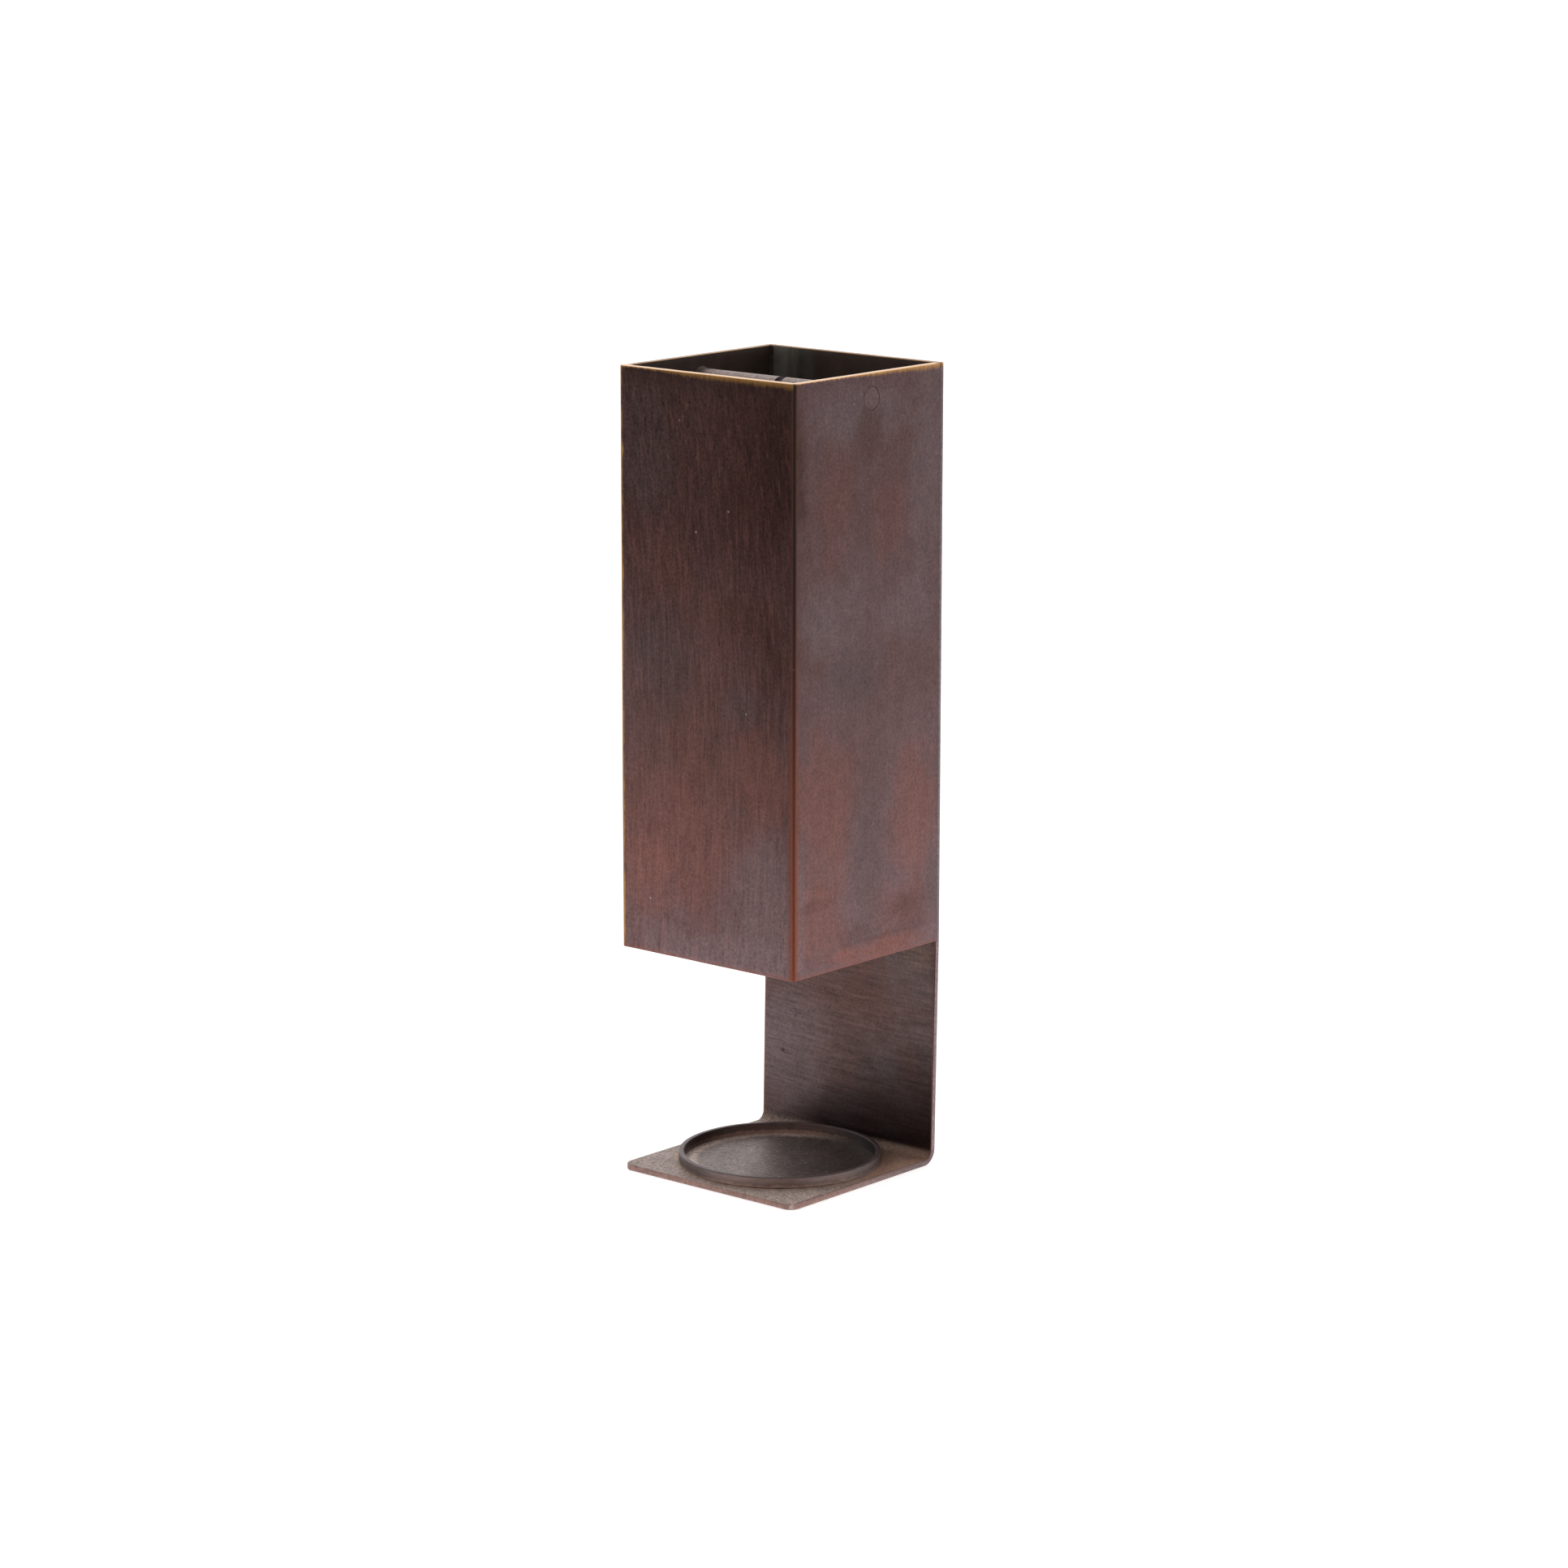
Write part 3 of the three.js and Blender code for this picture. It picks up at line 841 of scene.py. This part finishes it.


# ---- the bent sheet's patina, with painted light and shade ----

def arm_coat(m):
    """Colour and brush lines of the arm, darkening towards its foot and its right side."""
    slanted = m.add(m.z, m.times(m.x, 0.04), m.times(m.math("POWER", m.x, 2.0), -0.0008))
    strokes = m.node("ShaderNodeCombineXYZ", {0: m.times(m.x, 0.07), 1: m.y, 2: slanted})
    lines = m.noise(strokes, 0.8, 2, 0.8, seed=12)
    broad_lines = m.noise(strokes, 2.6, 2, 0.5, seed=13)
    grain = m.noise(m.place, 0.8, 2, 0.9, seed=16)
    ragged = m.swing(m.noise(m.place, 7, 4, 0.6, seed=14), 1.2)
    colour = m.mix(m.ramp(m.noise(m.place, 14, 3, 0.5, seed=15), 0.35, 0.65, 0.0, 0.5), ARM_GREY, BROWN)
    colour = m.mix(m.times(m.cloud(m.place, (-2, 27, 46), (26, 9, 13), ragged), 0.6), colour, BROWN)
    colour = m.mix(m.times(m.cloud(m.place, (-20, 27, 22), (16, 9, 22), ragged), 0.6), colour, GREY_FILM)
    stain = m.cloud(m.place, (23, 28, 56.5), (7, 9, 3.6), m.times(ragged, 0.6))
    colour = m.mix(m.times(stain, 0.12), colour, SAND)
    spot = m.cloud(m.place, (-23, 27, 22.5), (0.7, 9, 0.7), 0.0)
    colour = m.mix(m.times(spot, 0.7), colour, m.shade(NEAR_BLACK, 0.5))
    streak = m.add(m.swing(lines, 1.2), m.swing(broad_lines, 0.3), m.swing(grain, 1.2), 1.0)
    lit = m.add(m.z, m.times(m.x, -0.3))
    shadow = m.ramp(lit, 4.0, 40.0, 0.44, 0.82)
    return m.shade(colour, m.times(streak, shadow)), lines


def base_coat(m):
    """Colour of the dusty base with its painted light and shade, how dusty it is, and how much of it
    lies inside the ring.
    """
    radius = from_ring_axis(m)
    in_ring = m.ramp(radius, RING_MM - 0.4, RING_MM - 0.8)
    patches = m.ramp(m.noise(m.place, 9, 3, 0.6, seed=17), 0.35, 0.65)
    outer = m.mix(patches, DUST, m.shade(DUST, 0.85))
    floor = m.mix(patches, RING_FLOOR, m.shade(RING_FLOOR, 0.85))
    colour = m.mix(in_ring, outer, floor)

    loose = m.swing(m.noise(m.place, 2.2, 3, 0.7, seed=21), 2.4)
    gap_outside = m.add(m.less(radius, RING_MM), loose)
    gap_inside = m.add(m.less(RING_MM - RING_WALL_MM, radius), loose)
    banked = m.add(m.times(m.ramp(gap_outside, 2.2, 0.2), m.inverse(in_ring)),
                   m.times(m.ramp(gap_inside, 4.4, 0.4), in_ring))
    crease = m.ramp(m.add(m.y, m.times(m.z, -0.5), loose), 21.0, 25.0)
    banked = m.most(banked, m.times(crease, 0.8))
    # Dust heaped round the ring's foot, with painted light: lighter outside the ring, and inside it
    # lighter on the left and darker on the right.
    heaped_dust_and_painted_light = m.mix(in_ring, m.shade(SAND, 1.25), m.shade(DUST, m.ramp(m.x, -16.0, 6.0, 2.2, 0.25)))
    colour = m.mix(m.times(banked, m.blend(in_ring, 0.6, 0.85)), colour, heaped_dust_and_painted_light)

    sandy = m.times(m.ramp(m.x, 2.0, 26.0), m.inverse(in_ring), m.ramp(m.y, -12.0, 8.0))
    colour = m.mix(m.times(sandy, 0.8), colour, m.shade(SAND_RED, 1.6))
    # Painted light: the base lighter towards the viewer's side.
    nearer = m.vector("DOT_PRODUCT", m.place, VIEWER_SIDE)
    colour = m.shade(colour, m.ramp(nearer, 24.0, 32.0, 1.0, 1.3))
    crumbs = m.specks(m.place, 1.7, radius=0.34, chosen=0.5, seed=2)
    colour = m.mix(m.times(crumbs, m.blend(in_ring, 0.45, 0.6)), colour, FLECK)
    banked = m.most(banked, m.times(crumbs, 0.7))
    grain = m.less(m.noise(m.place, 0.9, 2, 0.9, seed=19), 0.5)
    gritty = m.add(m.times(grain, m.blend(sandy, 2.6, 1.3)), 1.0)
    # Painted shade: the base darker towards the bend.
    painted_shade_by_the_bend = m.ramp(m.y, 19.0, 26.0, 1.0, 0.75)
    return m.shade(colour, m.times(gritty, painted_shade_by_the_bend)), banked, in_ring


def back_wall_soot_and_sheen(m):
    """The soot on the back wall's inside, with a painted green sheen down its left side, lightest by the
    corner.
    """
    upright_blotch = m.noise(m.scaled(m.place, 1, 1, 0.2), 6, 3, 0.6, seed=27)
    # Painted sheen: a green-grey reflection down the left of the back wall's inside.
    sheen = m.times(m.ramp(m.x, -10.0, -16.0), m.ramp(upright_blotch, 0.4, 0.6, 0.45, 1.0))
    sheen = m.most(sheen, m.ramp(m.x, -19.0, -24.0))
    green = m.shade(PAINTED_GREEN_SHEEN, m.ramp(m.x, -17.0, -23.0, 1.0, 2.3))
    return m.shade(m.mix(sheen, SOOT, green), soot_light(m))


def cut_edges(m, colour, on_chimney):
    """The sheet's cut edges, redder round the base, and a coloured arris beside them."""
    on_base_edge = m.ramp(m.z, 4.0, 2.0)
    cut_side = m.ramp(m.math("ABSOLUTE", m.facing_x), 0.6, 0.95)
    cut_front = m.times(m.ramp(m.facing_y, -0.6, -0.95), m.ramp(m.z, 3.0, 2.0))
    grain = m.add(m.swing(m.noise(m.place, 1.1, 3, 0.8, seed=28), 1.8), 1.0)
    redder = m.times(on_base_edge, m.ramp(m.y, 18.0, -20.0, 0.4, 1.0))
    fall = m.ramp(m.times(m.y, on_base_edge), -10.0, 25.0, 1.1, 0.75)
    cut = m.shade(m.mix(redder, CUT_GREY, CUT_BROWN), m.times(grain, fall))
    colour = m.mix(m.most(cut_side, cut_front), colour, cut)
    arris = m.times(m.ramp(m.from_side, 0.7, 0.3), m.ramp(cut_side, 0.5, 0.1), m.inverse(on_chimney))
    return m.mix(m.times(arris, 0.6), colour, m.mix(m.ramp(m.x, -5.0, 5.0), AMBER, RED_BROWN))


def sheet_material():
    m = Metal("bracket_patina")
    chimney, lines = chimney_coat(m)
    arm, arm_lines = arm_coat(m)
    base_dust_and_light, banked, in_ring = base_coat(m)
    on_chimney = m.ramp(m.z, CHIMNEY_MM - 0.2, CHIMNEY_MM + 0.2)
    outside = m.most(m.ramp(m.facing_y, 0.2, 0.6), m.ramp(m.facing_z, -0.2, -0.6))
    brushed_up = m.most(on_chimney, outside)
    on_base = m.times(m.ramp(m.z, 4.5, 1.8), m.inverse(outside))
    inside = m.times(m.ramp(m.from_back, 0.9, 1.2), on_chimney, m.ramp(m.below_rim, 0.1, 0.3))
    colour = m.mix(brushed_up, m.mix(on_base, arm, base_dust_and_light), chimney)
    colour = m.mix(inside, colour, back_wall_soot_and_sheen(m))
    colour = cut_edges(m, colour, on_chimney)
    colour, worn = worn_rim(m, colour, inside)

    base_rough = m.times(on_base, m.blend(in_ring, 0.2, 0.08))
    roughness = m.add(satin(m), m.times(worn, -0.06), base_rough, m.times(inside, 0.2))
    sandy_floor = m.times(in_ring, banked, -0.7)
    base_matt = m.times(on_base, m.add(m.blend(in_ring, -0.8, 0.02), sandy_floor))
    metallic = m.add(m.times(worn, 0.1), base_matt, m.times(inside, -0.6), 0.9)
    height = m.add(m.times(lines, brushed_up), m.times(arm_lines, m.inverse(brushed_up)),
                   m.times(m.noise(m.place, 0.7, 4, 0.75, seed=16), 0.6))
    level = m.vector("CROSS_PRODUCT", m.normal, (0, 0, 1))
    upright = m.vector("CROSS_PRODUCT", m.normal, (1, 0, 0))
    return m.finish(colour, metallic, roughness, height, BUMP_MM, 0.4, m.mix(brushed_up, upright, level))


# ---- the ring, the bar and the solder ----

def ring_material():
    m = Metal("ring_patina")
    above = m.less(m.z, SHEET_MM)
    mottle = m.noise(m.scaled(m.place, 1, 1, 2), 5, 3, 0.6, seed=20)
    colour = m.mix(m.ramp(mottle, 0.4, 0.65, 0.0, 0.2), RING_BROWN, RED_BROWN)
    lines = m.noise(m.scaled(m.place, 0.35, 0.35, 3), 1.1, 3, 0.7, seed=21)
    colour = m.shade(colour, m.add(m.swing(lines, 1.2), 1.0))

    within = m.ramp(from_ring_axis(m), RING_MM - 0.8, RING_MM - 1.2)
    high = m.times(m.noise(m.place, 2, 3, 0.6, seed=22), m.blend(within, 1.5, 1.7))
    dusty_foot = m.ramp(m.less(above, high), 0.25, -0.2)
    colour = m.mix(m.times(dusty_foot, 0.8), colour, CAUGHT_DUST)

    # Painted light and shade by which way the ring's surface faces: darker facing left, much lighter
    # facing the viewer.
    dim_outside = m.ramp(m.facing_x, -1.0, -0.3, 0.3, 1.0)
    dim_within = m.ramp(m.facing_x, -0.6, 0.4, 0.12, 1.2)
    dim = m.add(m.times(dim_outside, m.inverse(within)), m.times(dim_within, within))
    painted_facing_light = m.ramp(m.vector("DOT_PRODUCT", m.normal, VIEWER_SIDE), 0.55, 1.0, 0.75, 2.2)
    colour = m.shade(colour, m.times(painted_facing_light, dim))
    # Painted highlight: a grey line along the ring's top.
    painted_crown_highlight = m.ramp(above, RING_HEIGHT_MM - 0.16, RING_HEIGHT_MM - 0.03)
    colour = m.mix(m.times(painted_crown_highlight, 0.6), colour, GREY_FILM)

    roughness = m.add(m.times(mottle, 0.2), 0.35)
    height = m.add(lines, m.times(m.noise(m.place, 0.6, 3, 0.6, seed=23), 0.6))
    metallic = m.add(m.times(within, m.ramp(m.facing_x, -0.2, -0.7), 0.6), 0.3)
    return m.finish(colour, metallic, roughness, height, BUMP_MM)


def bar_material():
    m = Metal("bar_dusty")
    along = m.noise(m.scaled(m.place, 0.2, 1, 1), 0.8, 4, 0.7, seed=30)
    colour = m.mix(m.ramp(along, 0.35, 0.65), BROWN, GREY_FILM)
    on_top = m.ramp(m.facing_z, -0.5, 0.4)
    grain = m.noise(m.place, 0.9, 4, 0.9, seed=31)
    dust = m.shade(BAR_DUST, m.add(m.swing(grain, 3.0), 1.0))
    colour = m.mix(m.times(on_top, 0.85), colour, dust)
    crumbs = m.times(m.specks(m.place, 1.5, radius=0.35, chosen=0.4, seed=3), on_top)
    colour = m.mix(m.times(crumbs, 0.6), colour, FLECK)
    near_wall = m.times(m.ramp(m.aside, 26.0, 28.0), 0.6)
    colour = m.mix(near_wall, colour, RED_BROWN)
    # The groove: undusted metal, darkened near black as painted shade in the recess.
    in_groove = m.ramp(m.aside, HALF_GROOVE_MM + 0.1, HALF_GROOVE_MM - 0.1)
    colour = m.mix(in_groove, colour, m.shade(NEAR_BLACK, 0.3))
    end = m.ramp(m.aside, HALF_MM - 0.1, HALF_MM - 0.05)
    colour = m.mix(end, colour, chimney_coat(m)[0])
    roughness = m.add(m.times(along, 0.2), 0.4, m.times(end, -0.1))
    height = m.add(along, m.noise(m.place, 0.6, 3, 0.6, seed=33))
    return m.finish(colour, m.add(m.times(end, 0.3), 0.6), roughness, height, 0.015)


def solder_material():
    m = Metal("solder_dark")
    blotch = m.noise(m.place, 3, 4, 0.6, seed=40)
    colour = m.mix(m.ramp(blotch, 0.35, 0.65), SOLDER_DARK, SOLDER_LIGHT)
    low_down = m.ramp(m.z, 6.0, 4.0)
    foot = m.mix(m.ramp(blotch, 0.4, 0.6, 0.2, 0.8), RING_BROWN, CAUGHT_DUST)
    colour = m.mix(low_down, colour, foot)
    height = m.noise(m.place, 0.8, 4, 0.7, seed=41)
    metallic = m.blend(low_down, 0.3, 0.1)
    return m.finish(colour, metallic, m.add(m.times(blotch, 0.3), 0.4), height, 0.04)


# ---- floor, light and camera ----

def floor_material():
    """White. As the brass mirrors it, it ends in the dark of the room on the viewer's side."""
    material = bpy.data.materials.new("floor_white")
    material.use_nodes = True
    g = Graph(material.node_tree)
    spot = g.node("ShaderNodeTexCoord", output=3)
    nearer = g.vector("DOT_PRODUCT", spot, VIEWER_SIDE)
    pool = g.ramp(nearer, 0.04, 0.19, 1.1, 0.1)
    far = g.ramp(g.vector("LENGTH", spot), 0.35, 1.2, 1.0, 0.75)
    seen = g.node("ShaderNodeLightPath")
    mirrored = g.node("ShaderNodeEmission", {"Color": WHITE, "Strength": g.times(pool, far)})
    diffuse = g.node("ShaderNodeBsdfDiffuse", {"Color": (0.9, 0.9, 0.9, 1)})
    glow = g.node("ShaderNodeEmission", {"Color": WHITE, "Strength": 0.7})
    shown = g.node("ShaderNodeAddShader", {0: diffuse, 1: glow})
    g.end("ShaderNodeOutputMaterial", g.node("ShaderNodeMixShader", {0: seen, 1: mirrored, 2: shown}))
    return material


def white_floor():
    bm = bmesh.new()
    bmesh.ops.create_grid(bm, x_segments=1, y_segments=1, size=12)
    floor = finish_mesh("floor", bm)
    floor.data.materials.append(floor_material())


def studio_light():
    """A world that is white to the camera, light behind and above, and dark on the viewer's side."""
    world = bpy.data.worlds.new("studio")
    bpy.context.scene.world = world
    world.use_nodes = True
    g = Graph(world.node_tree)
    direction = g.node("ShaderNodeTexCoord")
    seen = g.node("ShaderNodeLightPath")
    nearer = g.vector("DOT_PRODUCT", direction, VIEWER_SIDE)
    sideways = g.ramp(nearer, 0.3, -0.35, 0.08, 1.15)
    overhead = g.ramp(g.parts(direction)[2], 0.6, 0.95, 0.0, 0.5)
    level = g.most(sideways, overhead, g.times(seen, 1.2))
    g.end("ShaderNodeOutputWorld", g.node("ShaderNodeBackground", {"Color": WHITE, "Strength": level}))


AZIMUTH, ELEVATION, ROLL = math.radians(40.665), math.radians(12.08), math.radians(0.068)
DISTANCE = 1.2925
AIM_ASIDE, AIM_HEIGHT = 0.00062, 0.10504  # where the camera looks: off the axis, over the table
LENS, SENSOR = 111.98, 36  # in millimetres
CLIP_START, CLIP_END = 0.05, 50


def photo_camera():
    """A camera at the photograph's viewing angle."""
    back = Vector((math.sin(AZIMUTH) * math.cos(ELEVATION), -math.cos(AZIMUTH) * math.cos(ELEVATION),
                   math.sin(ELEVATION)))
    aside = Vector((math.cos(AZIMUTH), math.sin(AZIMUTH), 0))
    above = back.cross(aside)
    right = aside * math.cos(ROLL) + above * math.sin(ROLL)
    up = above * math.cos(ROLL) - aside * math.sin(ROLL)
    data = bpy.data.cameras.new("camera")
    data.lens = LENS
    data.sensor_width = SENSOR
    data.clip_start, data.clip_end = CLIP_START, CLIP_END
    camera = new_object("camera", data)
    camera.matrix_world = Matrix((right, up, back)).transposed().to_4x4()
    camera.location = aside * AIM_ASIDE + UP * AIM_HEIGHT + back * DISTANCE
    bpy.context.scene.camera = camera
    bpy.context.scene.view_settings.view_transform = "Standard"


# ---- put together ----

solder = solder_material()
PIECES = [
    (back_and_base(), "back_and_base", "bracket_patina", sheet_material()),
    (chimney_cover(), "chimney_cover", "chimney_patina", cover_material()),
    (candle_ring(), "candle_ring", "ring_patina", ring_material()),
    (hanging_bar(), "hanging_bar", "bar_dusty", bar_material()),
    (corner_seam(-1, "seam_bead_left", "seam_solder_left"), "seam_solder_left", "solder_dark", solder),
    (corner_seam(1, "seam_bead_right", "seam_solder_right"), "seam_solder_right", "solder_dark", solder),
    (bar_collar(-1, "bar_bead_left", "bar_solder_left"), "bar_solder_left", "solder_dark", solder),
    (bar_collar(1, "bar_bead_right", "bar_solder_right"), "bar_solder_right", "solder_dark", solder),
    (ring_bead("ring_bead", "ring_solder"), "ring_solder", "solder_dark", solder),
]
for piece, node, slot, material in PIECES:
    piece.data.materials.clear()
    piece.data.materials.append(material)
    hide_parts(node)
    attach(piece, "root")

white_floor()
studio_light()
photo_camera()
